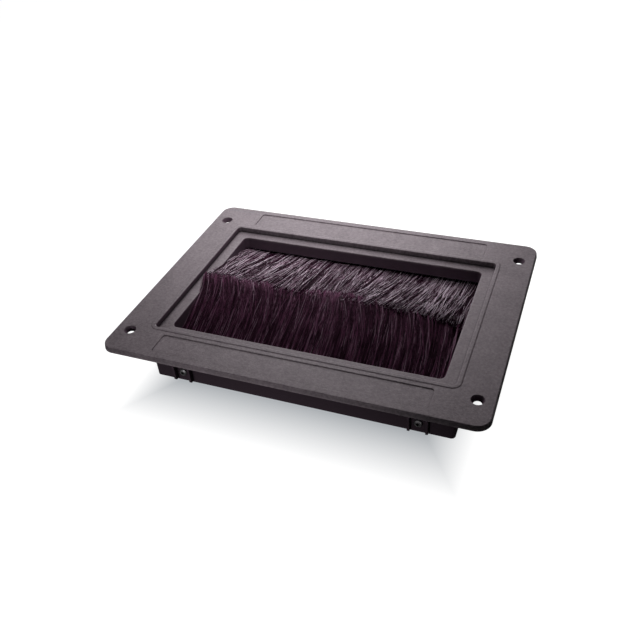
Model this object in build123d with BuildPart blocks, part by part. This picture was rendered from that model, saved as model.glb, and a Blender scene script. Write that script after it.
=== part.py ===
from build123d import *
import os
import random
from math import cos, pi, radians, sin

# Raised floor grommet: a moulded frame that drops into a cut-out in a floor panel, with two opposed brush
# strips that close its cable opening. Millimetres. +X runs along the long side, +Y to the back and +Z up.
# The origin is the middle of the flange's underside, the plane that lies on the floor panel.

# Cable opening
opening_length = 205.6
opening_width = 128.0
opening_corner = 4.0
opening_round = 0.8

# Ledge round the opening, sunk below the flange's top
ledge_end = 9.3
ledge_side = 8.1
ledge_thickness = 2.5
recess_depth = 4.0
recess_corner = 3.0
recess_round = 0.8

# Raised rim that frames the recess
rim_width = 3.7
rim_height = 0.4
rim_slope = 66.0

# Apron, the short inner wall that hangs from the ledge and hides the brush strips
apron_depth = 8.0
apron_wall = 2.0

# Skirt, which goes down through the floor panel: its outer face measured from the opening's edge
bay_end = 12.2
bay_side = 15.5
skirt_depth = 39.0
skirt_wall = 2.5
skirt_corner = 3.0
bay_corner = 1.5
skirt_bevel = 1.2

# Flange, which covers the cut-out: its margin measured from the skirt's outer face
margin_end = 25.0
margin_side = 24.7
flange_thickness = 4.0
flange_corner = 10.0
flange_draft = 8.0
flange_round = 0.8

# Countersunk holes for the floor screws, measured in from the flange's edges
hole_inset_end = 11.9
hole_inset_side = 23.5
hole_diameter = 5.8
sink_diameter = 9.4
sink_angle = 60.0

# Sunk label panels along the front and rear of the flange
panel_rim_outer = 5.8
panel_rim_inner = 6.6
panel_end = 39.6
panel_depth = 0.7
panel_corner = 2.5
panel_slope = 35.0

# Screws that hold the brush holders, and the pair of fins that guards each head
screw_inset = 24.9
screw_height = 10.0
screw_diameter = 3.2
screw_reach = 7.0
screw_point = 1.5
screw_hole_gap = 0.15
head_diameter = 6.0
head_height = 2.4
head_bevel = 0.8
drive_sides = 6
drive_diameter = 2.6
drive_depth = 1.3
fin_pitch = 12.75
fin_thickness = 1.6
fin_proud = 4.0
fin_foot_gap = 3.0
fin_round = 1.5

# Brush strip: a folded channel that pinches filaments doubled over a core wire
brush_tilt = 11.75
brush_drop = 5.0
brush_end_gap = 0.8
channel_depth = 6.0
channel_height = 4.6
channel_wall = 0.5
channel_fold = 0.9
bundle_gap = 0.1
wire_diameter = 1.5
wire_setback = 3.6
wire_gap = 0.12

# Holder, an extruded profile: a leg on the skirt's inner face and a slotted head for the brush strip
holder_setback = 9.0
holder_wall = 1.6
holder_leg = 2.5
holder_lip = 1.2
holder_foot = 5.0
holder_gap = 0.1
slot_gap = 0.35

# Filaments, gathered into locks in an upper and a lower layer that fan apart towards the tips
lock_count = 60
lock_fan = 2.0
lock_cross = 1.25
lock_overlap = 1.5
lock_root = 1.0
lock_tip = 1.7
lock_scatter = 4.5
notch_start = 4.0
notch_scatter = 12.0
lean_reach = 2.2
lean_wave = 74.0
lock_seed = 11

# Sizes that follow from the values above
recess_length = opening_length + 2 * ledge_end
recess_width = opening_width + 2 * ledge_side
rim_length = recess_length + 2 * rim_width
rim_breadth = recess_width + 2 * rim_width
skirt_length = opening_length + 2 * bay_end
skirt_width = opening_width + 2 * bay_side
bay_length = skirt_length - 2 * skirt_wall
bay_width = skirt_width - 2 * skirt_wall
flange_length = skirt_length + 2 * margin_end
flange_width = skirt_width + 2 * margin_side
hole_spacing_x = flange_length - 2 * hole_inset_end
hole_spacing_y = flange_width - 2 * hole_inset_side
ledge_top = flange_thickness - recess_depth
deck_bottom = ledge_top - ledge_thickness
apron_bottom = deck_bottom - apron_depth
apron_length = opening_length + 2 * apron_wall
apron_width = opening_width + 2 * apron_wall
panel_length = flange_length - 2 * panel_end
panel_width = (flange_width - recess_width) / 2 - panel_rim_outer - panel_rim_inner
panel_y = (flange_width - panel_width) / 2 - panel_rim_outer
screw_x = skirt_length / 2 - screw_inset
screw_z = screw_height - skirt_depth
fin_length = skirt_depth - fin_foot_gap
brush_length = opening_length - 2 * brush_end_gap
mouth_y = bay_width / 2 - holder_setback
mouth_z = apron_bottom - brush_drop
bundle_half = channel_height / 2 - channel_wall - bundle_gap
pocket_half = channel_height / 2 + holder_gap
head_half = pocket_half + holder_wall
leg_bottom = screw_z - holder_foot
tilt_sine = sin(radians(brush_tilt))
tilt_cosine = cos(radians(brush_tilt))
leg_top = mouth_z - (channel_depth + holder_wall) * tilt_sine + head_half * tilt_cosine
lock_pitch = brush_length / lock_count

# Section of the front brush strip: local X out of the strip's mouth along the filaments, local Y across the strip
front_section = Plane(
    origin=(0, -mouth_y, mouth_z),
    x_dir=Vector(0, 1, 0).rotate(Axis.X, brush_tilt),
    z_dir=(1, 0, 0),
)


def layer_plane(side, height, angle):
    """Plane of one layer of locks: local Y runs along the filaments and local Z out of the layer's upper face."""
    mouth_normal = Vector(0, 0, 1).rotate(Axis.X, -side * brush_tilt)
    return Plane(
        origin=Vector(0, side * mouth_y, mouth_z) + mouth_normal * height,
        x_dir=(-side, 0, 0),
        z_dir=Vector(0, 0, 1).rotate(Axis.X, -side * angle),
    )


def lock_outline(angle, chance):
    """Outline of one layer: a straight root and a row of uneven locks, each narrowing to a blunt tip."""
    reach = (mouth_y + lock_overlap) / cos(radians(angle))
    phase = chance.uniform(0, 2 * pi)
    edge = -brush_length / 2
    outline = [(edge, -lock_root)]
    for index in range(lock_count):
        notch = edge + index * lock_pitch
        centre = notch + lock_pitch / 2
        tip_x = centre + lean_reach * sin(2 * pi * centre / lean_wave + phase) * cos(pi * centre / brush_length)
        tip_y = reach - chance.uniform(0, lock_scatter)
        outline.append((notch, notch_start + chance.uniform(0, notch_scatter)))
        outline.append((tip_x - lock_tip / 2, tip_y))
        outline.append((tip_x + lock_tip / 2, tip_y))
    outline.append((-edge, notch_start))
    outline.append((-edge, -lock_root))
    return outline


os.makedirs("parts", exist_ok=True)

# Frame, moulded in one piece
with BuildPart() as frame:
    with BuildSketch():
        RectangleRounded(flange_length, flange_width, flange_corner)
    extrude(amount=flange_thickness, taper=flange_draft)
    fillet(frame.faces().sort_by(Axis.Z)[-1].edges(), radius=flange_round)
    with BuildSketch():
        RectangleRounded(skirt_length, skirt_width, skirt_corner)
    extrude(amount=-skirt_depth)
    chamfer(frame.faces().sort_by(Axis.Z)[0].edges(), length=skirt_bevel)
    with BuildSketch(Plane.XY.offset(deck_bottom)):
        RectangleRounded(bay_length, bay_width, bay_corner)
    extrude(amount=-(skirt_depth + deck_bottom), mode=Mode.SUBTRACT)
    with BuildSketch(Plane.XY.offset(deck_bottom)):
        RectangleRounded(apron_length, apron_width, opening_corner + apron_wall)
    extrude(amount=-apron_depth)
    with BuildSketch(Plane.XY.offset(flange_thickness)):
        RectangleRounded(rim_length, rim_breadth, recess_corner + rim_width)
    extrude(amount=rim_height, taper=rim_slope)
    with BuildSketch(Plane.XY.offset(flange_thickness + rim_height)):
        RectangleRounded(recess_length, recess_width, recess_corner)
    extrude(amount=-(recess_depth + rim_height), mode=Mode.SUBTRACT)
    fillet(frame.faces().sort_by(Axis.Z)[-1].inner_wires()[0].edges(), radius=recess_round)
    with BuildSketch(Plane.XY.offset(ledge_top)):
        RectangleRounded(opening_length, opening_width, opening_corner)
    extrude(amount=-(ledge_thickness + apron_depth), mode=Mode.SUBTRACT)
    fillet(frame.edges(Select.LAST).group_by(Axis.Z)[-1], radius=opening_round)
    with BuildSketch(Plane.XY.offset(flange_thickness)):
        with GridLocations(0, 2 * panel_y, 1, 2):
            RectangleRounded(panel_length, panel_width, panel_corner)
    extrude(amount=-panel_depth, taper=panel_slope, mode=Mode.SUBTRACT)
    with Locations(Plane.XY.offset(flange_thickness)):
        with GridLocations(hole_spacing_x, hole_spacing_y, 2, 2):
            CounterSinkHole(hole_diameter / 2, sink_diameter / 2, flange_thickness, sink_angle)
    with BuildSketch():
        with GridLocations(2 * screw_x, skirt_width + fin_proud, 2, 2):
            with GridLocations(fin_pitch, 0, 2, 1):
                Rectangle(fin_thickness, fin_proud)
    extrude(amount=-fin_length)
    fin_feet = frame.edges(Select.LAST).filter_by(Axis.X).group_by(Axis.Z)[0]
    fin_middle = (skirt_width + fin_proud) / 2
    fillet(fin_feet.filter_by(lambda edge: abs(edge.center().Y) > fin_middle), radius=fin_round)
    with BuildSketch(Plane.XZ):
        with Locations((screw_x, screw_z), (-screw_x, screw_z)):
            Circle(screw_diameter / 2 + screw_hole_gap)
    extrude(amount=skirt_width, both=True, mode=Mode.SUBTRACT)
frame.part.label = "frame"
export_step(frame.part, "parts/frame.step")

# Brush holders
with BuildPart() as front_brush_holder:
    with BuildSketch(front_section):
        with Locations((-channel_depth - holder_wall, 0)):
            Rectangle(
                channel_depth + holder_wall + holder_gap + holder_lip,
                2 * head_half,
                align=(Align.MIN, Align.CENTER),
            )
    extrude(amount=brush_length / 2, both=True)
    with BuildSketch(Plane.YZ):
        with Locations((-bay_width / 2, leg_bottom)):
            Rectangle(holder_leg, leg_top - leg_bottom, align=(Align.MIN, Align.MIN))
    extrude(amount=brush_length / 2, both=True)
    with BuildSketch(front_section):
        with Locations((-channel_depth, 0)):
            Rectangle(channel_depth + holder_gap, 2 * pocket_half, align=(Align.MIN, Align.CENTER))
        Rectangle(2 * (holder_gap + holder_lip), 2 * (bundle_half + slot_gap))
    extrude(amount=brush_length / 2, both=True, mode=Mode.SUBTRACT)
    with BuildSketch(Plane.XZ.offset(bay_width / 2)):
        with Locations((screw_x, screw_z), (-screw_x, screw_z)):
            Circle(screw_diameter / 2 + screw_hole_gap)
    extrude(amount=-holder_leg, mode=Mode.SUBTRACT)
front_brush_holder.part.label = "front_brush_holder"
export_step(front_brush_holder.part, "parts/front_brush_holder.step")

with BuildPart() as rear_brush_holder:
    mirror(front_brush_holder.part, about=Plane.XZ)
rear_brush_holder.part.label = "rear_brush_holder"
export_step(rear_brush_holder.part, "parts/rear_brush_holder.step")

# Folded channels of the brush strips
with BuildPart() as front_brush_channel:
    with BuildSketch(front_section):
        Rectangle(channel_depth, channel_height, align=(Align.MAX, Align.CENTER))
    extrude(amount=brush_length / 2, both=True)
    back_edges = front_brush_channel.edges().filter_by(Axis.X).sort_by(Axis.Y)[:2]
    fillet(back_edges, radius=channel_fold)
    with BuildSketch(front_section):
        Rectangle(
            channel_depth - channel_wall,
            channel_height - 2 * channel_wall,
            align=(Align.MAX, Align.CENTER),
        )
    extrude(amount=brush_length / 2, both=True, mode=Mode.SUBTRACT)
front_brush_channel.part.label = "front_brush_channel"
export_step(front_brush_channel.part, "parts/front_brush_channel.step")

with BuildPart() as rear_brush_channel:
    mirror(front_brush_channel.part, about=Plane.XZ)
rear_brush_channel.part.label = "rear_brush_channel"
export_step(rear_brush_channel.part, "parts/rear_brush_channel.step")

# Core wires that the filaments are doubled over
with BuildPart() as front_core_wire:
    with BuildSketch(front_section):
        with Locations((-wire_setback, 0)):
            Circle(wire_diameter / 2)
    extrude(amount=brush_length / 2, both=True)
front_core_wire.part.label = "front_core_wire"
export_step(front_core_wire.part, "parts/front_core_wire.step")

with BuildPart() as rear_core_wire:
    mirror(front_core_wire.part, about=Plane.XZ)
rear_core_wire.part.label = "rear_core_wire"
export_step(rear_core_wire.part, "parts/rear_core_wire.step")

# Bundle of filament roots, packed round the core wire inside the channel
with BuildPart() as front_roots:
    with BuildSketch(front_section):
        Rectangle(channel_depth - channel_wall - bundle_gap, 2 * bundle_half, align=(Align.MAX, Align.CENTER))
        with Locations((-wire_setback, 0)):
            Circle(wire_diameter / 2 + wire_gap, mode=Mode.SUBTRACT)
    extrude(amount=brush_length / 2, both=True)

# Filaments of the front strip, whose locks pass under those of the rear strip where the tips cross
front_chance = random.Random(lock_seed)
front_upper_angle = brush_tilt + lock_fan - lock_cross
front_lower_angle = brush_tilt - lock_fan - lock_cross
with BuildPart() as front_filaments:
    add(front_roots.part)
    with BuildSketch(layer_plane(-1, bundle_half, front_upper_angle)):
        with BuildLine():
            Polyline(lock_outline(front_upper_angle, front_chance), close=True)
        make_face()
    extrude(amount=-bundle_half)
    with BuildSketch(layer_plane(-1, 0, front_lower_angle)):
        with BuildLine():
            Polyline(lock_outline(front_lower_angle, front_chance), close=True)
        make_face()
    extrude(amount=-bundle_half)
front_filaments.part.label = "front_filaments"
export_step(front_filaments.part, "parts/front_filaments.step")

# Filaments of the rear strip
rear_chance = random.Random(lock_seed + 1)
rear_upper_angle = brush_tilt + lock_fan + lock_cross
rear_lower_angle = brush_tilt - lock_fan + lock_cross
with BuildPart() as rear_filaments:
    mirror(front_roots.part, about=Plane.XZ)
    with BuildSketch(layer_plane(1, bundle_half, rear_upper_angle)):
        with BuildLine():
            Polyline(lock_outline(rear_upper_angle, rear_chance), close=True)
        make_face()
    extrude(amount=-bundle_half)
    with BuildSketch(layer_plane(1, 0, rear_lower_angle)):
        with BuildLine():
            Polyline(lock_outline(rear_lower_angle, rear_chance), close=True)
        make_face()
    extrude(amount=-bundle_half)
rear_filaments.part.label = "rear_filaments"
export_step(rear_filaments.part, "parts/rear_filaments.step")

# Pan-head screw, with its head's underside on the local XY plane and its shank down
with BuildPart() as screw:
    with BuildSketch(Plane.XZ):
        with BuildLine():
            Polyline(
                (0, -screw_reach),
                (screw_diameter / 2, screw_point - screw_reach),
                (screw_diameter / 2, 0),
                (head_diameter / 2, 0),
                (head_diameter / 2, head_height),
                (0, head_height),
                close=True,
            )
        make_face()
    revolve(axis=Axis.Z)
    chamfer(screw.edges().sort_by(Axis.Z)[-1], length=head_bevel)
    with BuildSketch(Plane.XY.offset(head_height)):
        RegularPolygon(drive_diameter / 2, drive_sides)
    extrude(amount=-drive_depth, mode=Mode.SUBTRACT)

# The four holder screws, driven in from outside the long walls
with BuildPart() as holder_screws:
    with Locations(
        Plane(origin=(screw_x, -skirt_width / 2, screw_z), z_dir=(0, -1, 0)),
        Plane(origin=(-screw_x, -skirt_width / 2, screw_z), z_dir=(0, -1, 0)),
        Plane(origin=(screw_x, skirt_width / 2, screw_z), z_dir=(0, 1, 0)),
        Plane(origin=(-screw_x, skirt_width / 2, screw_z), z_dir=(0, 1, 0)),
    ):
        add(screw.part)
holder_screws.part.label = "holder_screws"
export_step(holder_screws.part, "parts/holder_screws.step")
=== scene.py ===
"""Dresses the CAD frame of a raised floor grommet: plastic, brush filaments, metal strips and its stage."""
from math import pi, radians, tan

import bpy
import numpy as np
from bpy.props import FloatProperty, FloatVectorProperty, IntProperty, PointerProperty
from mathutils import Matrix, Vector


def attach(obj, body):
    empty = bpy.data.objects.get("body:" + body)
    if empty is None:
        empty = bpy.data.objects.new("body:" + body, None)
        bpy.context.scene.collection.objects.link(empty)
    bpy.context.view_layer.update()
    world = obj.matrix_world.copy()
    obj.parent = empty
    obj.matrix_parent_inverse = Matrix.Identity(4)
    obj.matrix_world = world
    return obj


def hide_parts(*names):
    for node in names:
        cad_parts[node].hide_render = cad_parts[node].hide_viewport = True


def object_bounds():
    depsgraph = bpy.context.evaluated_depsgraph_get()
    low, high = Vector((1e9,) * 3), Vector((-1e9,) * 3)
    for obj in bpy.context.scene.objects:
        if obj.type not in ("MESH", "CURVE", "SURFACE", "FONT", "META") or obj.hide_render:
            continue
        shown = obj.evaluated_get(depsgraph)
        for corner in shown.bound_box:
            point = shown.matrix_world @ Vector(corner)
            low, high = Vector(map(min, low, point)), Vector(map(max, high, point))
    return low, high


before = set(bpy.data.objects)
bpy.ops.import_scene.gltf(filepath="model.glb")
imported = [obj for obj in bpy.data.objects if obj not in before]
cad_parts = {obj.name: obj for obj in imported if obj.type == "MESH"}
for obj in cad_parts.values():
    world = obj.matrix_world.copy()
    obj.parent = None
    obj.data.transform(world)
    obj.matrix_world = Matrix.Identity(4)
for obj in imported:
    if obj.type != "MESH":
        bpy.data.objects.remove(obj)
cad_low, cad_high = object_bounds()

bl_info = {
    "name": "Raised Floor Grommet",
    "version": (1, 0, 0),
    "blender": (4, 5, 0),
    "location": "View3D > Sidebar > Grommet",
    "description": "Finishes the pieces of a brush-sealed floor grommet and sets its stage",
    "category": "Object",
}

MM = 0.001
WHITE = (1.0, 1.0, 1.0, 1.0)
EVEN = (1.0, 1.0, 1.0)
LEVEL = (1.0, 1.0, 0.0)

# Stretch of a finish whose marks run along X, the way that the strips were drawn
LENGTHWISE = (0.02, 1.0, 1.0)

# Numbers of the Mix node's two colour inputs and of its colour output
MIX_DARK = 6
MIX_LIGHT = 7
MIX_RESULT = 2

# Camera's sensor in millimetres, and the nearest that it sees in metres
SENSOR_WIDTH = 36.0
CLIP_START = 0.01

# Brush strips, as the CAD frame has them, in millimetres: the strip's mouth, its tilt, half of its
# bundle and of its length, and how far out to the sides its tips may lean
MOUTH_Y = 68.0
MOUTH_Z = -15.5
STRIP_TILT = radians(11.75)
BUNDLE_HALF = 1.62
STRIP_HALF = 101.6
TIP_HALF = 108.0

# Floor screw holes, as the CAD frame has them, in millimetres: half of their pitches, the countersink's
# radius, and how far inside that the painted shade on the hole walls fades in
HOLE_HALF = (128.1, 80.7)
SINK_RADIUS = 4.7
SINK_EDGE = 0.5

# Half of the recess round the opening, out to the rounded top of its walls, how softly it ends there, and
# how squarely a wall faces sideways where the painted shade on it begins and is full
RECESS_HALF = (113.0, 73.0)
RECESS_EDGE = 0.2
WALL_FACING = (0.6, 0.95)

# Half of the floor hidden under the skirt, which a dark sheet of painted shade covers, and how far that
# sheet lies above the floor
UNDER_HALF = (112.0, 77.0)
UNDER_LIFT = 0.2

# Heights in millimetres between which the painted shade below the flange gives way to the plain colour,
# and between which that painted shade darkens further, with the share of its colour that is left below them
PAINTED_SHADE_TOP = (-2.0, 0.0)
DEEP_SHADE_FOOT = (-26.0, -12.0)
DEEP_SHADE_SHARE = 0.3

# Values between which most of a noise lies, and more of it
NOISE_SPAN = (0.3, 0.7)
WIDE_SPAN = (0.25, 0.75)

# Moulded skin: its clouds and its specks, the latter against the grain, how much each counts, the darkest
# and the palest skin as shares of its colour, and its least and most roughness, off the mean
CLOUD_SCALE = 55.0
CLOUD_SHARE = 0.35
SPECK_SCALE = 0.6
SPECK_SHARE = 0.65
SKIN_SHARES = (0.66, 1.34)
SKIN_ROUGHNESS = (-0.06, 0.08)

# Freedom of the space round a point at which the painted edge highlights, the painted shade in corners
# and the painted shade in folds and sockets begin and end
EDGE_HIGHLIGHT_ROOM = (0.55, 0.95)
CORNER_SHADE_ROOM = (0.4, 0.9)
CREASE_SHADE_ROOM = (0.5, 0.95)
ROOM_SAMPLES = 8

# Drawn lines of the holders: their scale, depth, roughness, and the darkest and palest as shares
LINE_SCALE = 2200.0
LINE_DEPTH = 0.00004
LINE_ROUGHNESS = (0.34, 0.46)
LINE_SHARES = (0.7, 1.4)

# Marks and stains of the metals: their scale and depth, stained shares, and what the painted shade in a
# fold or socket leaves of the colour
MARK_SCALE = 1500.0
MARK_DEPTH = 0.00003
STAIN_SCALE = 240.0
STAIN_SHARES = (0.75, 1.15)
CREASE_SHADE_SHARE = 0.1

# Clouds of the dark sheet of painted shade inside the skirt, and the darkest of it as a share
UNDER_CLOUD = 20.0
UNDER_SHARE = 0.6

# How far along a filament its root and the two bends of its line stand, from the strip's mouth
ROOT_RUN = -2.5
LOW_RUN = 14.0
HIGH_RUN = 46.0

# Profiles along X, in millimetres: each curtain's crest, its tips' lean in degrees, its swell at the strip
CREST = {
    "front": (
        (-102, 5.4), (-72, 4.0), (-57, 5.2), (-44, 2.6), (-26, 2.4), (-10, 3.2),
        (12, 4.4), (31, 3.4), (64, 0.6), (102, -5.0),
    ),
    "rear": (
        (-102, 3.2), (-72, 2.0), (-57, 2.4), (-38, 2.6), (-10, 2.1),
        (16, 4.2), (31, 4.6), (64, 2.9), (85, 0.8), (102, -2.6),
    ),
}
LEAN = {
    "front": (
        (-102, -15), (-86, -9), (-72, -9), (-50, -11), (-30, -5),
        (8, -6), (30, -11), (50, -8), (75, -9), (102, -3),
    ),
    "rear": ((-102, -2), (-72, -8), (-50, -11), (-34, -2), (8, 0), (30, -11), (50, -7), (102, -3)),
}
SWELL = {
    "front": ((-102, 2.0), (-70, 0.8), (102, 0.0)),
    "rear": ((-102, 6.0), (-88, 2.6), (-40, 2.0), (20, 0.4), (102, -1.0)),
}
SIDE = {"front": -1.0, "rear": 1.0}
SEED = {"front": 21, "rear": 34}

# Share of pale filaments in each curtain, and the ranges of tone of the pale and of the dark ones; the
# rear curtain's larger share of far paler filaments is painted sheen, light caught along its filaments
PALE_SHARE = {"front": 0.28, "rear": 0.35}
PALE_TONE = {"front": (0.12, 0.53), "rear": (0.75, 1.45)}
DARK_TONE = {"front": (0.0, 0.04), "rear": (0.0, 0.05)}

# Specular level of each curtain's nylon, and its roughness at the darkest and the palest, off the mean
SHEEN = {"front": 0.04, "rear": 0.07}
NYLON_ROUGHNESS = (0.08, -0.12)

# How much paler the filaments are along X, a painted sheen that grows towards the rear curtain's right
# end, and how much further than the rest they reach over the middle
PAINTED_SHEEN = {
    "front": ((-102, 1.0), (102, 1.0)),
    "rear": ((-102, 1.0), (0, 0.95), (55, 1.4), (102, 1.7)),
}
REACH = {
    "front": ((-102, 0.0), (-40, 0.0), (-12, 3.0), (12, 3.8), (40, 2.4), (64, 1.0), (102, 1.8)),
    "rear": ((-102, 0.0), (102, 0.0)),
}

# Share of its sideways lean that a filament has by its upper bend
BEND = {"front": 0.0, "rear": 0.35}

# Tone at which the nylon's own purple gives way to the grey of the painted sheen, and the palest tone
MID_TONE = 0.2
TOP_TONE = 1.5

# Highest that a filament stands, and how much further its tip reaches for each millimetre taken off it
CREST_TOP = 4.45
CREST_TRADE = 1.25

# Both layers of a curtain: the part of the bundle that each fills, the points along a filament, and the
# share of its tone that is left, lower in the lower layer as painted shade under the upper one
LOWER_LAYER = (-1.0, 0.1, 4, 0.4)
UPPER_LAYER = (-0.1, 1.0, 9, 1.0)

# Locks: their widths as shares of the mean, how many are laid for a strip's length, and how they differ from
# one another, in millimetres, in height, in lean and in cut
LOCK_WIDTHS = (0.25, 1.75)
LOCK_SPARE = 2.6
LOCK_LIFT = 0.5
LOCK_LEAN = 1.2
LOCK_CUT = 0.6

# How single filaments differ, in millimetres, and as a share of the bundle in level
STRAND_LIFT = 0.35
STRAND_CUT = 0.6
STRAND_LEVEL = 0.06
ROOT_SPREAD = 0.22
LOW_SPREAD = 0.25
HIGH_SPREAD = (0.4, 0.25)
TIP_SPREAD = (0.3, 0.2)
STRAY_GAIN = 4.0

# Share of the pull to its lock's middle that a filament has at each bend, how far the bundle opens by the
# lower bend, and how far the upper bend bulges, with its share of the swell
LOW_PULL = 0.1
HIGH_PULL = 0.5
LOW_FAN = 0.3
HIGH_BULGE = 0.5
HIGH_SWELL = 0.5

# Ups and downs along a filament, the mean and swing of its tone along it, painted light and shade as if
# it passed in and out of shadow, and how far single tones stray
WAVE_TURNS = (1.0, 3.0)
SHADE_MEAN = 0.66
SHADE_SWING = 0.34
TONE_SPREAD = 0.02

# Corners round a filament, and its width at the tip as a share of that at the root
STRAND_ANGLES = (90.0, 210.0, 330.0)
STRAND_CORNERS = len(STRAND_ANGLES)
TIP_WIDTH = 0.8


class GrommetStage(bpy.types.PropertyGroup):
    """Camera, floor and light."""

    camera_place: FloatVectorProperty(
        name="Camera Place", description="Where the camera stands",
        default=(0.175625, -0.42084, 0.336159), subtype="TRANSLATION", unit="LENGTH",
    )
    camera_turn: FloatVectorProperty(
        name="Camera Turn", description="How the camera is turned",
        default=(radians(51.89689), radians(3.94880), radians(20.78468)), subtype="EULER", unit="ROTATION",
    )
    camera_lens: FloatProperty(
        name="Lens", description="Focal length on the camera's sensor", default=41.7083, unit="CAMERA",
    )
    floor_span: FloatProperty(
        name="Floor Span", description="Side of the square floor", default=6.0, unit="LENGTH",
    )
    # Painted shadow: close in front of the part, the floor's white glow is greyed by distance from the part.
    painted_floor_shadow: FloatVectorProperty(
        name="Floor Glow", description="Part of the floor's white that is left close in front of the part",
        default=(0.372, 0.392, 0.412), subtype="COLOR",
    )
    floor_colour: FloatVectorProperty(
        name="Floor Colour", description="Part of the floor's white that a lamp's shadow takes",
        default=(0.25, 0.25, 0.25), subtype="COLOR",
    )
    floor_bounce: FloatVectorProperty(
        name="Floor Bounce", description="Colour of the light that the floor sends back up",
        default=(0.08, 0.08, 0.083), subtype="COLOR",
    )
    # Reaches of the floor's painted shadow to the sides and to the front.
    painted_shadow_length: FloatVectorProperty(
        name="Shade Length", description="Distances to the sides between which the floor whitens",
        default=(0.095, 0.128), size=2, unit="LENGTH",
    )
    painted_shadow_width: FloatVectorProperty(
        name="Shade Width", description="Distances to the front between which the floor whitens",
        default=(0.080, 0.128), size=2, unit="LENGTH",
    )
    ambient: FloatProperty(
        name="Ambient", description="Strength of the light from all round", default=0.02, min=0.0,
    )
    ambient_colour: FloatVectorProperty(
        name="Ambient Colour", description="Colour of the light from all round",
        default=(0.95, 0.97, 1.0), subtype="COLOR",
    )
    sky_edge: FloatVectorProperty(
        name="Sky Edge", description="Heights between which the white backdrop gives way to a dark ceiling",
        default=(0.10, 0.45), size=2,
    )
    near_power: FloatProperty(
        name="Near Power", description="Power of the soft lamp close behind the part",
        default=0.355, unit="POWER",
    )
    near_place: FloatVectorProperty(
        name="Near Place", description="Where the soft lamp close behind the part stands",
        default=(-0.055, 0.113, 0.152), subtype="TRANSLATION", unit="LENGTH",
    )
    near_aim: FloatVectorProperty(
        name="Near Aim", description="Point that this lamp faces",
        default=(-0.056, 0.175, 0.0), subtype="TRANSLATION", unit="LENGTH",
    )
    near_span: FloatVectorProperty(
        name="Near Span", description="Width and height of that lamp",
        default=(0.202, 0.214), size=2, unit="LENGTH",
    )
    back_power: FloatProperty(
        name="Back Power", description="Power of the soft lamp further behind the part",
        default=5.05, unit="POWER",
    )
    back_place: FloatVectorProperty(
        name="Back Place", description="Where the soft lamp further behind the part stands",
        default=(-0.210, 0.576, 0.447), subtype="TRANSLATION", unit="LENGTH",
    )
    back_aim: FloatVectorProperty(
        name="Back Aim", description="Point that this lamp faces",
        default=(0.0, 0.0, 0.0), subtype="TRANSLATION", unit="LENGTH",
    )
    back_span: FloatVectorProperty(
        name="Back Span", description="Width and height of that lamp",
        default=(0.565, 0.565), size=2, unit="LENGTH",
    )
    fill_power: FloatProperty(
        name="Fill Power", description="Power of the lamp low in front of the part",
        default=1.33, unit="POWER",
    )
    fill_place: FloatVectorProperty(
        name="Fill Place", description="Where the lamp low in front of the part stands",
        default=(-0.05, -0.943, 0.215), subtype="TRANSLATION", unit="LENGTH",
    )
    fill_aim: FloatVectorProperty(
        name="Fill Aim", description="Point below the part that the lamp in front faces",
        default=(-0.05, -0.169, -0.297), subtype="TRANSLATION", unit="LENGTH",
    )
    fill_span: FloatVectorProperty(
        name="Fill Span", description="Width and height of that lamp",
        default=(0.04, 0.04), size=2, unit="LENGTH",
    )
    fill_beam: FloatProperty(
        name="Fill Beam", description="Angle that the light of the lamp in front is kept within",
        default=radians(43.7), subtype="ANGLE", unit="ROTATION",
    )


class GrommetPlastic(bpy.types.PropertyGroup):
    """Finish of the moulded frame and of the brush holders."""

    colour: FloatVectorProperty(
        name="Colour", description="Charcoal of the moulded frame",
        default=(0.153, 0.127, 0.141), subtype="COLOR",
    )
    # Painted shade: a deeper colour below the flange, on the hole walls and on the recess's end walls,
    # darker towards the bottom.
    painted_shade_colour: FloatVectorProperty(
        name="Smooth Colour", description="Deeper colour of the smooth skin below the flange",
        default=(0.078, 0.052, 0.070), subtype="COLOR",
    )
    holder_colour: FloatVectorProperty(
        name="Holder Colour", description="Black of the extruded brush holders",
        default=(0.025, 0.025, 0.028), subtype="COLOR",
    )
    sheen: FloatProperty(
        name="Sheen", description="Specular level of the moulded skin",
        default=0.14, subtype="FACTOR", min=0, max=1,
    )
    sheen_tint: FloatVectorProperty(
        name="Sheen Tint", description="Tint of the sheen on the moulded skin",
        default=(1.0, 0.87, 0.93), subtype="COLOR",
    )
    roughness: FloatProperty(
        name="Roughness", description="Roughness of the moulded skin",
        default=0.45, subtype="FACTOR", min=0, max=1,
    )
    grain_size: FloatProperty(
        name="Grain Size", description="Size of the fine texture left by the mould",
        default=0.0013, unit="LENGTH",
    )
    grain_depth: FloatProperty(
        name="Grain Depth", description="Depth of that texture", default=0.00016, unit="LENGTH",
    )
    # Painted highlight: the edges of the skin are made paler where they would catch the light.
    edge_highlight_gain: FloatProperty(
        name="Edge Gain", description="How much paler the skin is where handling has rubbed its edges",
        default=1.3, subtype="FACTOR", min=1, max=3,
    )
    edge_highlight_reach: FloatProperty(
        name="Edge Reach", description="How far in from an edge the rubbed skin shows",
        default=0.0016, unit="LENGTH",
    )
    # Painted shade: the skin darkens in tight corners and recesses, where shade falls.
    corner_shade_share: FloatProperty(
        name="Corner Share", description="How much of the colour is left in the tightest corners",
        default=0.10, subtype="FACTOR", min=0, max=1,
    )
    corner_shade_reach: FloatProperty(
        name="Corner Reach", description="How far out of a corner the grime in it shows",
        default=0.0024, unit="LENGTH",
    )


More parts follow.
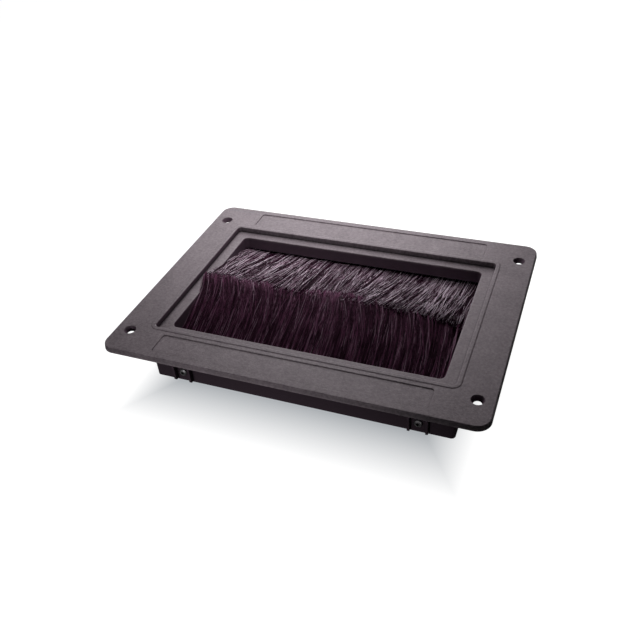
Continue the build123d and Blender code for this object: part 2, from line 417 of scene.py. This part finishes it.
class GrommetFilaments(bpy.types.PropertyGroup):
    """Nylon filaments of the two brush strips."""

    upper_count: IntProperty(
        name="Upper Filaments", description="Filaments in the upper, visible part of each strip",
        default=2280, min=1,
    )
    lower_count: IntProperty(
        name="Lower Filaments", description="Filaments in the lower part of each strip",
        default=3870, min=1,
    )
    width: FloatProperty(
        name="Strand Width", description="Thickness of one filament", default=0.00036, unit="LENGTH",
    )
    pale_width: FloatProperty(
        name="Pale Width", description="How much thicker the pale filaments are",
        default=1.5, subtype="FACTOR", min=0.5, max=3,
    )
    lock_width: FloatProperty(
        name="Lock Width", description="Mean width of the locks that filaments gather into",
        default=0.006, unit="LENGTH",
    )
    lock_pinch: FloatProperty(
        name="Lock Pinch", description="How far the tightest locks close up at their tips",
        default=0.6, subtype="FACTOR", min=0, max=1,
    )
    tilt: FloatProperty(
        name="Tilt", description="How far the tips of single filaments stray sideways",
        default=0.0042, unit="LENGTH",
    )
    wander: FloatProperty(
        name="Wander", description="How far a filament wanders from its line",
        default=0.00045, unit="LENGTH",
    )
    fan: FloatProperty(
        name="Fan", description="Height of the curtain at its tips", default=0.0075, unit="LENGTH",
    )
    overlap: FloatProperty(
        name="Overlap", description="How far the longest tips pass the middle",
        default=0.0025, unit="LENGTH",
    )
    scatter: FloatProperty(
        name="Tip Scatter", description="How unevenly the tips are cut", default=0.002, unit="LENGTH",
    )
    stray_share: FloatProperty(
        name="Stray Share", description="Share of filaments that leave their lock",
        default=0.06, subtype="FACTOR", min=0, max=1,
    )
    dark: FloatVectorProperty(
        name="Dark Strand", description="Colour of the darkest filaments",
        default=(0.020, 0.0025, 0.0115), subtype="COLOR",
    )
    middle: FloatVectorProperty(
        name="Middle Strand", description="Purple of the filaments between",
        default=(0.138, 0.044, 0.094), subtype="COLOR",
    )
    # Painted sheen: the palest filaments, most of them in the rear curtain, take this near-white colour.
    light: FloatVectorProperty(
        name="Light Strand", description="Colour of the palest filaments",
        default=(0.98, 0.845, 0.955), subtype="COLOR",
    )
    roughness: FloatProperty(
        name="Roughness", description="Roughness of the nylon",
        default=0.42, subtype="FACTOR", min=0, max=1,
    )


class GrommetMetal(bpy.types.PropertyGroup):
    """Finish of the folded channels, core wires and screws."""

    channel_colour: FloatVectorProperty(
        name="Channel Colour", description="Zinc coat of the folded channels",
        default=(0.50, 0.51, 0.53), subtype="COLOR",
    )
    channel_roughness: FloatVectorProperty(
        name="Channel Roughness", description="Least and most roughness of the channels",
        default=(0.32, 0.5), size=2, min=0, max=1,
    )
    wire_colour: FloatVectorProperty(
        name="Wire Colour", description="Drawn steel of the core wires",
        default=(0.42, 0.42, 0.43), subtype="COLOR",
    )
    wire_roughness: FloatVectorProperty(
        name="Wire Roughness", description="Least and most roughness of the core wires",
        default=(0.25, 0.4), size=2, min=0, max=1,
    )
    screw_colour: FloatVectorProperty(
        name="Screw Colour", description="Dull zinc of the holder screws",
        default=(0.20, 0.195, 0.20), subtype="COLOR",
    )
    screw_roughness: FloatVectorProperty(
        name="Screw Roughness", description="Least and most roughness of the screws",
        default=(0.35, 0.55), size=2, min=0, max=1,
    )
    # Painted shade: channels, wires and screws darken in their folds and sockets, where shade falls.
    strip_fold_shade: FloatProperty(
        name="Strip Pit", description="How far out of a fold the dirt in it shows on channels and wires",
        default=0.001, unit="LENGTH",
    )
    screw_socket_shade: FloatProperty(
        name="Screw Pit", description="How far out of its socket the dirt shows on a screw",
        default=0.003, unit="LENGTH",
    )


def add_node(tree, kind, inputs=None, **settings):
    """Adds a node, sets its own settings, and sets or links each named input."""
    node = tree.nodes.new(kind)
    for name, value in settings.items():
        setattr(node, name, value)
    for name, value in (inputs or {}).items():
        if isinstance(value, bpy.types.NodeSocket):
            tree.links.new(value, node.inputs[name])
        else:
            node.inputs[name].default_value = value
    return node


def rgba(colour, factor=1.0):
    """A colour property as a node socket takes it, made lighter or darker by a factor."""
    return (*(min(1.0, channel * factor) for channel in colour), 1.0)


def new_material(name):
    """A material with an empty node tree and its output node."""
    material = bpy.data.materials.new(name)
    material.use_nodes = True
    tree = material.node_tree
    tree.nodes.clear()
    return material, tree, tree.nodes.new("ShaderNodeOutputMaterial")


def skin_shader(tree, output, inputs):
    """The shader of a piece's surface, led to the material's output."""
    shader = add_node(tree, "ShaderNodeBsdfPrincipled", inputs)
    tree.links.new(shader.outputs["BSDF"], output.inputs["Surface"])


def place_texture(tree, stretch):
    """Coordinates of the part in metres, stretched along each axis."""
    place = add_node(tree, "ShaderNodeTexCoord").outputs["Object"]
    return add_node(tree, "ShaderNodeMapping", {"Vector": place, "Scale": stretch}).outputs["Vector"]


def noise(tree, vector, scale, detail=3.0, roughness=0.55):
    """Factor of a noise texture."""
    inputs = {"Vector": vector, "Scale": scale, "Detail": detail, "Roughness": roughness}
    return add_node(tree, "ShaderNodeTexNoise", inputs).outputs["Fac"]


def maths(tree, operation, first, second, clamp=False):
    """A sum, product or the like of two values."""
    inputs = {0: first, 1: second}
    return add_node(tree, "ShaderNodeMath", inputs, operation=operation, use_clamp=clamp).outputs["Value"]


def vector_maths(tree, operation, *vectors):
    """A node that works on one or two vectors."""
    return add_node(tree, "ShaderNodeVectorMath", dict(enumerate(vectors)), operation=operation)


def parts_of(tree, vector):
    """The X, Y and Z of a vector."""
    return add_node(tree, "ShaderNodeSeparateXYZ", {"Vector": vector}).outputs


def sizes_of(tree, vector):
    """The X, Y and Z of a vector without their signs."""
    return parts_of(tree, vector_maths(tree, "ABSOLUTE", vector).outputs["Vector"])


def ramp(tree, factor, low, high, low_value, high_value):
    """A factor spread from one range of values to another."""
    inputs = {
        "Value": factor, "From Min": low, "From Max": high, "To Min": low_value, "To Max": high_value,
    }
    return add_node(tree, "ShaderNodeMapRange", inputs).outputs["Result"]


def blend_colour(tree, factor, dark, light, kind="MIX"):
    """A colour between two, by a factor."""
    inputs = {"Factor": factor, MIX_DARK: dark, MIX_LIGHT: light}
    return add_node(tree, "ShaderNodeMix", inputs, data_type="RGBA", blend_type=kind).outputs[MIX_RESULT]


def scale_colour(tree, colour, share):
    """A colour times a share that is itself worked out by nodes."""
    return blend_colour(tree, 1.0, colour, share, "MULTIPLY")


def bump(tree, height, distance):
    """Normal of a surface roughened by a height."""
    return add_node(tree, "ShaderNodeBump", {"Height": height, "Distance": distance}).outputs["Normal"]


def room(tree, reach, inside=False):
    """How free the space round a point is within a reach, outside the surface or on its inner side."""
    settings = {"samples": ROOM_SAMPLES, "only_local": True, "inside": inside}
    return add_node(tree, "ShaderNodeAmbientOcclusion", {"Distance": reach}, **settings).outputs["AO"]


def hole_distance(tree, place):
    """Distance from the axis of the nearest floor screw hole."""
    away = vector_maths(tree, "ABSOLUTE", place).outputs["Vector"]
    axis = (HOLE_HALF[0] * MM, HOLE_HALF[1] * MM, 0.0)
    off = vector_maths(tree, "SUBTRACT", away, axis).outputs["Vector"]
    level = vector_maths(tree, "MULTIPLY", off, LEVEL).outputs["Vector"]
    return vector_maths(tree, "LENGTH", level).outputs["Value"]


def recess_end_shade(tree, place):
    """1 on the upright walls at both ends of the recess, which get painted shade, 0 elsewhere."""
    normal = add_node(tree, "ShaderNodeTexCoord").outputs["Normal"]
    wall = ramp(tree, sizes_of(tree, normal)["X"], *WALL_FACING, 0.0, 1.0)
    away = sizes_of(tree, place)
    for axis, half in zip("XY", RECESS_HALF):
        within = ramp(tree, away[axis], half * MM, (half + RECESS_EDGE) * MM, 1.0, 0.0)
        wall = maths(tree, "MULTIPLY", wall, within)
    return wall


def moulded_plastic(settings):
    """Charcoal moulded plastic with the fine sparked texture of its mould, painted shade below the flange,
    in the holes and on the recess's end walls, painted highlights on its edges and painted shade in corners.
    """
    material, tree, output = new_material("moulded_charcoal_plastic")
    even = place_texture(tree, EVEN)
    grain = noise(tree, even, 1.0 / settings.grain_size, detail=2.0, roughness=0.6)
    cloud = noise(tree, even, CLOUD_SCALE, detail=4.0, roughness=0.6)
    speck = noise(tree, even, SPECK_SCALE / settings.grain_size, detail=2.0, roughness=0.7)
    tone = maths(
        tree, "ADD",
        ramp(tree, cloud, *NOISE_SPAN, 0.0, CLOUD_SHARE),
        ramp(tree, speck, *NOISE_SPAN, 0.0, SPECK_SHARE),
    )
    skin = blend_colour(tree, tone, *(rgba(settings.colour, share) for share in SKIN_SHARES))
    height = parts_of(tree, even)["Z"]
    above = ramp(tree, height, *(z * MM for z in PAINTED_SHADE_TOP), 0.0, 1.0)
    rim = ((SINK_RADIUS - SINK_EDGE) * MM, SINK_RADIUS * MM)
    outside = ramp(tree, hole_distance(tree, even), *rim, 0.0, 1.0)
    open_skin = maths(tree, "MULTIPLY", above, outside)
    unshaded = maths(tree, "SUBTRACT", open_skin, recess_end_shade(tree, even), clamp=True)
    # Painted shade below the flange, in the holes and on the recess's end walls, darker towards the bottom.
    shadowed = blend_colour(
        tree, ramp(tree, height, *(z * MM for z in DEEP_SHADE_FOOT), 0.0, 1.0),
        rgba(settings.painted_shade_colour, DEEP_SHADE_SHARE), rgba(settings.painted_shade_colour),
    )
    skin = blend_colour(tree, unshaded, shadowed, skin)
    # Painted highlight on the edges.
    highlighted = ramp(tree, room(tree, settings.edge_highlight_reach, inside=True), *EDGE_HIGHLIGHT_ROOM, settings.edge_highlight_gain, 1.0)
    # Painted shade in corners.
    shading = ramp(tree, room(tree, settings.corner_shade_reach), *CORNER_SHADE_ROOM, settings.corner_shade_share, 1.0)
    roughness = (settings.roughness + change for change in SKIN_ROUGHNESS)
    skin_shader(tree, output, {
        "Base Color": scale_colour(tree, scale_colour(tree, skin, highlighted), shading),
        "Roughness": ramp(tree, grain, *WIDE_SPAN, *roughness),
        "Specular IOR Level": settings.sheen,
        "Specular Tint": rgba(settings.sheen_tint),
        "Normal": bump(tree, grain, settings.grain_depth),
    })
    return material


def extruded_plastic(settings):
    """Black extruded plastic with fine drawn lines along its length."""
    material, tree, output = new_material("extruded_black_plastic")
    line = noise(tree, place_texture(tree, LENGTHWISE), LINE_SCALE, detail=3.0, roughness=0.6)
    blacks = (rgba(settings.holder_colour, share) for share in LINE_SHARES)
    skin_shader(tree, output, {
        "Base Color": blend_colour(tree, line, *blacks),
        "Roughness": ramp(tree, line, *NOISE_SPAN, *LINE_ROUGHNESS),
        "Normal": bump(tree, line, LINE_DEPTH),
    })
    return material


def drawn_metal(name, colour, stretch, roughness, shade_reach):
    """Bare or coated metal with fine marks along the way it was drawn or turned, with painted shade in its
    folds and sockets.
    """
    material, tree, output = new_material(name)
    mark = noise(tree, place_texture(tree, stretch), MARK_SCALE, detail=4.0, roughness=0.65)
    stain = noise(tree, place_texture(tree, EVEN), STAIN_SCALE, detail=4.0, roughness=0.6)
    stained = blend_colour(tree, stain, *(rgba(colour, share) for share in STAIN_SHARES))
    # Painted shade in folds and sockets.
    crease_shade = ramp(tree, room(tree, shade_reach), *CREASE_SHADE_ROOM, CREASE_SHADE_SHARE, 1.0)
    skin_shader(tree, output, {
        "Base Color": scale_colour(tree, stained, crease_shade),
        "Metallic": 1.0,
        "Roughness": ramp(tree, mark, *NOISE_SPAN, *roughness),
        "Normal": bump(tree, mark, MARK_DEPTH),
    })
    return material


def filament_nylon(side, settings):
    """Dark nylon of one strip, whose tone changes from one filament to the next; its pale grey tones are
    painted sheen.
    """
    material, tree, output = new_material(f"{side}_filament_nylon")
    tone = add_node(tree, "ShaderNodeAttribute", attribute_name="strand_tone").outputs["Fac"]
    purple = blend_colour(
        tree, ramp(tree, tone, 0.0, MID_TONE, 0.0, 1.0), rgba(settings.dark), rgba(settings.middle)
    )
    pale = ramp(tree, tone, MID_TONE, TOP_TONE, 0.0, 1.0)
    roughness = (settings.roughness + change for change in NYLON_ROUGHNESS)
    skin_shader(tree, output, {
        "Base Color": blend_colour(tree, pale, purple, rgba(settings.light)),
        "Roughness": ramp(tree, tone, 0.0, 1.0, *roughness),
        "Specular IOR Level": SHEEN[side],
    })
    return material


def dress(names, material):
    """Gives CAD pieces their finish."""
    for name in names:
        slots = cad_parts[name].data.materials
        slots.clear()
        slots.append(material)


def along(points, x):
    """A profile's values at places along X, eased between its points."""
    known = np.array(points, float)
    index = np.clip(np.searchsorted(known[:, 0], x) - 1, 0, len(known) - 2)
    start, end = known[index], known[index + 1]
    share = np.clip((x - start[:, 0]) / (end[:, 0] - start[:, 0]), 0.0, 1.0)
    share = share * share * (3.0 - 2.0 * share)
    return start[:, 1] + (end[:, 1] - start[:, 1]) * share


def wave(chance, count, points):
    """Smooth ups and downs between -1 and 1 along each filament."""
    turns = chance.uniform(*WAVE_TURNS, (count, 1))
    start = chance.uniform(0.0, 1.0, (count, 1))
    return np.sin(2 * np.pi * (turns * np.linspace(0.0, 1.0, points) + start))


def strand_paths(side, settings, count, low, high, points, chance):
    """Centre lines, tones and widths of one layer of filaments, in millimetres: low and high are its share
    of the bundle, and each filament is a curve over its root, two bends and its tip."""
    lock_width = settings.lock_width / MM
    widths = chance.uniform(*LOCK_WIDTHS, int(LOCK_SPARE * STRIP_HALF / lock_width)) * lock_width
    edges = np.cumsum(widths) - STRIP_HALF - lock_width
    centres = (edges[1:] + edges[:-1]) / 2
    locks = len(centres)
    start_x = chance.uniform(-STRIP_HALF, STRIP_HALF, count)
    lock = np.clip(np.searchsorted(edges, start_x) - 1, 0, locks - 1)
    pinch = chance.uniform(0.0, settings.lock_pinch, locks)[lock]
    level = chance.uniform(low, high, count)
    lift = chance.normal(0.0, LOCK_LIFT, locks)[lock] + chance.normal(0.0, STRAND_LIFT, count)
    lean = chance.normal(0.0, LOCK_LEAN, locks)[lock] + chance.normal(0.0, settings.tilt / MM, count)
    cut = chance.normal(0.0, LOCK_CUT, locks)[lock]
    cut = cut - np.abs(chance.normal(0.0, settings.scatter / MM, count))
    # The rear curtain's many pale tones and their rise along X are painted sheen.
    pale = chance.random(count) < PALE_SHARE[side]
    pale_tone = chance.uniform(*PALE_TONE[side], count)
    tone = np.where(pale, pale_tone, chance.uniform(*DARK_TONE[side], count)) * along(PAINTED_SHEEN[side], start_x)

    wild = np.where(chance.random(count) < settings.stray_share, STRAY_GAIN, 1.0)
    root_x = np.clip(start_x + chance.normal(0.0, ROOT_SPREAD, count), -STRIP_HALF, STRIP_HALF)
    across = np.clip(level + chance.normal(0.0, STRAND_LEVEL, count), -1.0, 1.0)
    pull = (centres[lock] - root_x) * pinch
    shift = np.tan(np.radians(along(LEAN[side], root_x))) * MOUTH_Y + lean
    stray_x = chance.normal(0.0, TIP_SPREAD[0], count) * wild
    tip_x = np.clip(root_x + shift + pull + stray_x, -TIP_HALF, TIP_HALF)
    drop = (1.0 - across) / 2.0 * settings.fan / MM
    crest = along(CREST[side], tip_x) - drop + lift + chance.normal(0.0, TIP_SPREAD[1], count) * wild
    tip_z = np.minimum(crest, CREST_TOP)
    tip_run = MOUTH_Y + settings.overlap / MM + cut - np.abs(chance.normal(0.0, STRAND_CUT, count))
    tip_run += along(REACH[side], tip_x)
    tip_run += (crest - tip_z) * CREST_TRADE
    swell = along(SWELL[side], root_x) * (1.0 + across) / 2.0
    strip_z = MOUTH_Z + across * BUNDLE_HALF
    rise = tan(STRIP_TILT)
    high_share = HIGH_RUN / MOUTH_Y
    lines = (
        (root_x, np.full(count, ROOT_RUN), strip_z + ROOT_RUN * rise),
        (
            root_x + LOW_PULL * pull + chance.normal(0.0, LOW_SPREAD, count) * wild,
            np.full(count, LOW_RUN),
            strip_z + LOW_RUN * rise + LOW_FAN * across + swell,
        ),
        (
            root_x + BEND[side] * shift + HIGH_PULL * pull
            + chance.normal(0.0, HIGH_SPREAD[0], count) * wild,
            np.full(count, HIGH_RUN),
            (1 - high_share) * strip_z + high_share * tip_z + HIGH_BULGE + HIGH_SWELL * swell
            + chance.normal(0.0, HIGH_SPREAD[1], count) * wild,
        ),
        (tip_x, tip_run, tip_z),
    )
    u = np.linspace(0.0, 1.0, points)[None, :, None]
    weights = ((1 - u) ** 3, 3 * u * (1 - u) ** 2, 3 * u ** 2 * (1 - u), u ** 3)
    path = sum(weight * np.stack(line, 1)[:, None] for weight, line in zip(weights, lines))
    free = np.minimum(1.0, 4.0 * u * (1.0 - u))[:, :, 0] * settings.wander / MM
    path[:, :, 0] += wave(chance, count, points) * free
    path[:, :, 2] += wave(chance, count, points) * free
    path[:, :, 1] = SIDE[side] * (MOUTH_Y - path[:, :, 1])
    # Painted light and shade along each filament.
    shade = SHADE_MEAN + SHADE_SWING * wave(chance, count, points)
    tones = tone[:, None] * shade + chance.normal(0.0, TONE_SPREAD, (count, 1))
    return path, np.clip(tones, 0.0, TOP_TONE), np.where(pale, settings.pale_width, 1.0)


def tube_arrays(path, widths):
    """Corners and faces of one closed three-sided tube along each path, blunt at the root and the tip."""
    count, points = path.shape[:2]
    tangent = np.gradient(path, axis=1)
    tangent /= np.linalg.norm(tangent, axis=2, keepdims=True)
    sideways = np.cross(tangent, np.array([0.0, 0.0, 1.0]))
    sideways /= np.linalg.norm(sideways, axis=2, keepdims=True)
    upright = np.cross(sideways, tangent)
    angle = np.radians(STRAND_ANGLES)[:, None]
    ring = sideways[:, :, None] * np.cos(angle) + upright[:, :, None] * np.sin(angle)
    thin = np.linspace(1.0, TIP_WIDTH, points)[None, :, None, None]
    corners = (path[:, :, None] + ring * thin * widths[:, None, None, None] / 2).reshape(-1, 3)
    base = (np.arange(count) * points * STRAND_CORNERS)[:, None, None]
    step = (np.arange(points - 1) * STRAND_CORNERS)[None, :, None]
    turn = np.arange(STRAND_CORNERS)
    a, b = base + step + turn, base + step + (turn + 1) % STRAND_CORNERS
    sides = np.stack([a, b, b + STRAND_CORNERS, a + STRAND_CORNERS], -1).reshape(-1, 4)
    first = base[:, :, 0]
    last = first + STRAND_CORNERS * (points - 1)
    ends = np.concatenate([first + turn[::-1], last + turn])
    return corners, sides, ends


def strand_object(side, settings, material):
    """All filaments of one strip as one mesh."""
    chance = np.random.default_rng(SEED[side])
    layers = ((settings.lower_count, *LOWER_LAYER), (settings.upper_count, *UPPER_LAYER))
    corners, faces, tones, total = [], [], [], 0
    for count, low, high, points, layer_shade in layers:
        path, tone, thick = strand_paths(side, settings, count, low, high, points, chance)
        place, sides, ends = tube_arrays(path * MM, settings.width * thick)
        corners.append(place)
        faces += (sides + total).tolist() + (ends + total).tolist()
        # The lower layer's tone is cut as painted shade under the upper one.
        tones.append(np.repeat(tone * layer_shade, STRAND_CORNERS))
        total += len(place)
    mesh = bpy.data.meshes.new(f"{side}_strands")
    mesh.from_pydata(np.concatenate(corners).tolist(), [], faces)
    shades = mesh.attributes.new("strand_tone", "FLOAT", "POINT")
    shades.data.foreach_set("value", np.concatenate(tones).astype(np.float32))
    mesh.polygons.foreach_set("use_smooth", np.ones(len(mesh.polygons), bool))
    mesh.materials.append(material)
    mesh.update()
    strands = bpy.data.objects.new(f"{side}_strands", mesh)
    bpy.context.scene.collection.objects.link(strands)
    return strands


class GROMMET_OT_stage(bpy.types.Operator):
    """Set the camera, the white floor, the lamps and the light from all round"""

    bl_idname = "grommet.stage"
    bl_label = "Set Stage"

    def execute(self, context):
        scene = context.scene
        stage = scene.grommet_stage
        scene.view_settings.view_transform = "Standard"
        self.place_camera(scene, stage)

        half = stage.floor_span / 2
        under_x, under_y = (side * MM for side in UNDER_HALF)
        under_z = cad_low.z + UNDER_LIFT * MM
        self.lay_plane(scene, "floor", half, half, cad_low.z, self.floor_material(stage))
        self.lay_plane(scene, "floor_under_part", under_x, under_y, under_z, self.shade_material(stage))

        near = (stage.near_place, stage.near_aim, stage.near_span, stage.near_power, pi)
        back = (stage.back_place, stage.back_aim, stage.back_span, stage.back_power, pi)
        fill = (stage.fill_place, stage.fill_aim, stage.fill_span, stage.fill_power, stage.fill_beam)
        for name, lamp in (("near_lamp", near), ("back_lamp", back), ("fill_lamp", fill)):
            self.hang_lamp(scene, name, *lamp)
        self.light_world(scene, stage)
        return {"FINISHED"}

    @staticmethod
    def place_camera(scene, stage):
        """The camera at the photograph's viewing angle."""
        camera = bpy.data.objects.new("camera", bpy.data.cameras.new("camera"))
        scene.collection.objects.link(camera)
        camera.location = stage.camera_place
        camera.rotation_euler = stage.camera_turn
        camera.data.lens = stage.camera_lens
        camera.data.sensor_width = SENSOR_WIDTH
        camera.data.clip_start = CLIP_START
        scene.camera = camera

    @staticmethod
    def lay_plane(scene, name, half_x, half_y, height, material):
        """A level sheet of the stage, centred under the part."""
        mesh = bpy.data.meshes.new(name)
        corners = [(-half_x, -half_y), (half_x, -half_y), (half_x, half_y), (-half_x, half_y)]
        mesh.from_pydata([(x, y, height) for x, y in corners], [], [(0, 1, 2, 3)])
        mesh.materials.append(material)
        plane = bpy.data.objects.new(name, mesh)
        scene.collection.objects.link(plane)

    @staticmethod
    def hang_lamp(scene, name, place, aim, span, power, beam):
        """A soft lamp that faces a point and isn't seen itself."""
        lamp = bpy.data.objects.new(name, bpy.data.lights.new(name, "AREA"))
        scene.collection.objects.link(lamp)
        lamp.data.shape = "RECTANGLE"
        lamp.data.size, lamp.data.size_y = span
        lamp.data.energy = power
        lamp.data.spread = beam
        lamp.location = place
        lamp.rotation_euler = (Vector(aim) - Vector(place)).to_track_quat("-Z", "Y").to_euler()
        lamp.visible_camera = False

    @staticmethod
    def seen(tree):
        """1 for a ray that shows a surface to the camera, straight, in a reflection or through glass."""
        rays = add_node(tree, "ShaderNodeLightPath").outputs
        straight = maths(tree, "MAXIMUM", rays["Is Camera Ray"], rays["Is Glossy Ray"])
        return maths(tree, "MAXIMUM", straight, rays["Is Transmission Ray"])

    def floor_material(self, stage):
        """White where it is seen, with a painted shadow greying it close in front of the part on top of the
        lamps' real shadows, and dull for the light it sends up.
        """
        material, tree, output = new_material("white_floor")
        straight = add_node(tree, "ShaderNodeLightPath").outputs["Is Camera Ray"]
        away = sizes_of(tree, add_node(tree, "ShaderNodeTexCoord").outputs["Object"])
        beside = ramp(tree, away["X"], *stage.painted_shadow_length, 0.0, 1.0)
        ahead = ramp(tree, away["Y"], *stage.painted_shadow_width, 0.0, 1.0)
        colour = blend_colour(tree, maths(tree, "MAXIMUM", beside, ahead), rgba(stage.painted_floor_shadow), WHITE)
        glow = add_node(tree, "ShaderNodeEmission", {"Color": colour, "Strength": straight})
        white = add_node(tree, "ShaderNodeBsdfDiffuse", {"Color": rgba(stage.floor_colour)})
        both = {0: white.outputs["BSDF"], 1: glow.outputs["Emission"]}
        shown = add_node(tree, "ShaderNodeAddShader", both)
        bounce = add_node(tree, "ShaderNodeBsdfDiffuse", {"Color": rgba(stage.floor_bounce)})
        sorts = {0: self.seen(tree), 1: bounce.outputs["BSDF"], 2: shown.outputs["Shader"]}
        mixed = add_node(tree, "ShaderNodeMixShader", sorts)
        tree.links.new(mixed.outputs["Shader"], output.inputs["Surface"])
        return material

    @staticmethod
    def shade_material(stage):
        """A dark sheet of painted shade on the floor inside the skirt, where none of the white shows."""
        material, tree, output = new_material("shaded_floor")
        cloud = noise(tree, place_texture(tree, EVEN), UNDER_CLOUD)
        colour = blend_colour(tree, cloud, rgba(stage.floor_bounce, UNDER_SHARE), rgba(stage.floor_bounce))
        shader = add_node(tree, "ShaderNodeBsdfDiffuse", {"Color": colour})
        tree.links.new(shader.outputs["BSDF"], output.inputs["Surface"])
        return material

    def light_world(self, scene, stage):
        """A faint light from all round, and a white backdrop low down for the rays that show it."""
        world = bpy.data.worlds.new("studio")
        scene.world = world
        world.use_nodes = True
        tree = world.node_tree
        tree.nodes.clear()
        light = {"Color": rgba(stage.ambient_colour), "Strength": stage.ambient}
        around = add_node(tree, "ShaderNodeBackground", light)
        height = parts_of(tree, add_node(tree, "ShaderNodeTexCoord").outputs["Generated"])["Z"]
        level = ramp(tree, height, *stage.sky_edge, 1.0, stage.ambient)
        white = add_node(tree, "ShaderNodeBackground", {"Color": WHITE, "Strength": level})
        sorts = {0: self.seen(tree), 1: around.outputs["Background"], 2: white.outputs["Background"]}
        mixed = add_node(tree, "ShaderNodeMixShader", sorts)
        output = tree.nodes.new("ShaderNodeOutputWorld")
        tree.links.new(mixed.outputs["Shader"], output.inputs["Surface"])


class GROMMET_OT_frame(bpy.types.Operator):
    """Finish the moulded frame"""

    bl_idname = "grommet.frame"
    bl_label = "Finish Frame"

    def execute(self, context):
        dress(["frame"], moulded_plastic(context.scene.grommet_plastic))
        return {"FINISHED"}


class GROMMET_OT_strips(bpy.types.Operator):
    """Finish the brush holders, folded channels and core wires"""

    bl_idname = "grommet.strips"
    bl_label = "Finish Brush Strips"

    def execute(self, context):
        metal = context.scene.grommet_metal
        coated = drawn_metal(
            "zinc_coated_steel", metal.channel_colour, LENGTHWISE, metal.channel_roughness, metal.strip_fold_shade
        )
        drawn = drawn_metal(
            "drawn_steel_wire", metal.wire_colour, LENGTHWISE, metal.wire_roughness, metal.strip_fold_shade
        )
        dress(["front_brush_holder", "rear_brush_holder"], extruded_plastic(context.scene.grommet_plastic))
        dress(["front_brush_channel", "rear_brush_channel"], coated)
        dress(["front_core_wire", "rear_core_wire"], drawn)
        return {"FINISHED"}


class GROMMET_OT_filaments(bpy.types.Operator):
    """Make the filaments of both brush strips"""

    bl_idname = "grommet.filaments"
    bl_label = "Make Filaments"

    def execute(self, context):
        settings = context.scene.grommet_filaments
        for side in SIDE:
            strands = strand_object(side, settings, filament_nylon(side, settings))
            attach(strands, "root")
            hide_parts(f"{side}_filaments")
        return {"FINISHED"}


class GROMMET_OT_screws(bpy.types.Operator):
    """Finish the screws that hold the brush holders"""

    bl_idname = "grommet.screws"
    bl_label = "Finish Screws"

    def execute(self, context):
        metal = context.scene.grommet_metal
        dull = drawn_metal(
            "dull_zinc_screw", metal.screw_colour, EVEN, metal.screw_roughness, metal.screw_socket_shade
        )
        dress(["holder_screws"], dull)
        return {"FINISHED"}


STEPS = (GROMMET_OT_stage, GROMMET_OT_frame, GROMMET_OT_strips, GROMMET_OT_filaments, GROMMET_OT_screws)
GROUPS = {
    "grommet_stage": GrommetStage,
    "grommet_plastic": GrommetPlastic,
    "grommet_filaments": GrommetFilaments,
    "grommet_metal": GrommetMetal,
}


class VIEW3D_PT_grommet(bpy.types.Panel):
    """Steps that make the grommet, and the sizes and colours they use"""

    bl_idname = "VIEW3D_PT_grommet"
    bl_label = "Raised Floor Grommet"
    bl_space_type = "VIEW_3D"
    bl_region_type = "UI"
    bl_category = "Grommet"

    def draw(self, context):
        for step in STEPS:
            self.layout.operator(step.bl_idname)
        for name, group in GROUPS.items():
            box = self.layout.box()
            settings = getattr(context.scene, name)
            for prop in group.__annotations__:
                box.prop(settings, prop)


CLASSES = (*GROUPS.values(), *STEPS, VIEW3D_PT_grommet)


def register():
    """Adds the classes, and the settings to the scene."""
    for item in CLASSES:
        bpy.utils.register_class(item)
    for name, group in GROUPS.items():
        setattr(bpy.types.Scene, name, PointerProperty(type=group))


def unregister():
    """Takes the settings and the classes away again."""
    for name in GROUPS:
        delattr(bpy.types.Scene, name)
    for item in reversed(CLASSES):
        bpy.utils.unregister_class(item)


def main():
    """Makes every piece and the stage in order."""
    register()
    bpy.ops.grommet.stage()
    bpy.ops.grommet.frame()
    bpy.ops.grommet.strips()
    bpy.ops.grommet.filaments()
    bpy.ops.grommet.screws()


if __name__ == "__main__":
    main()
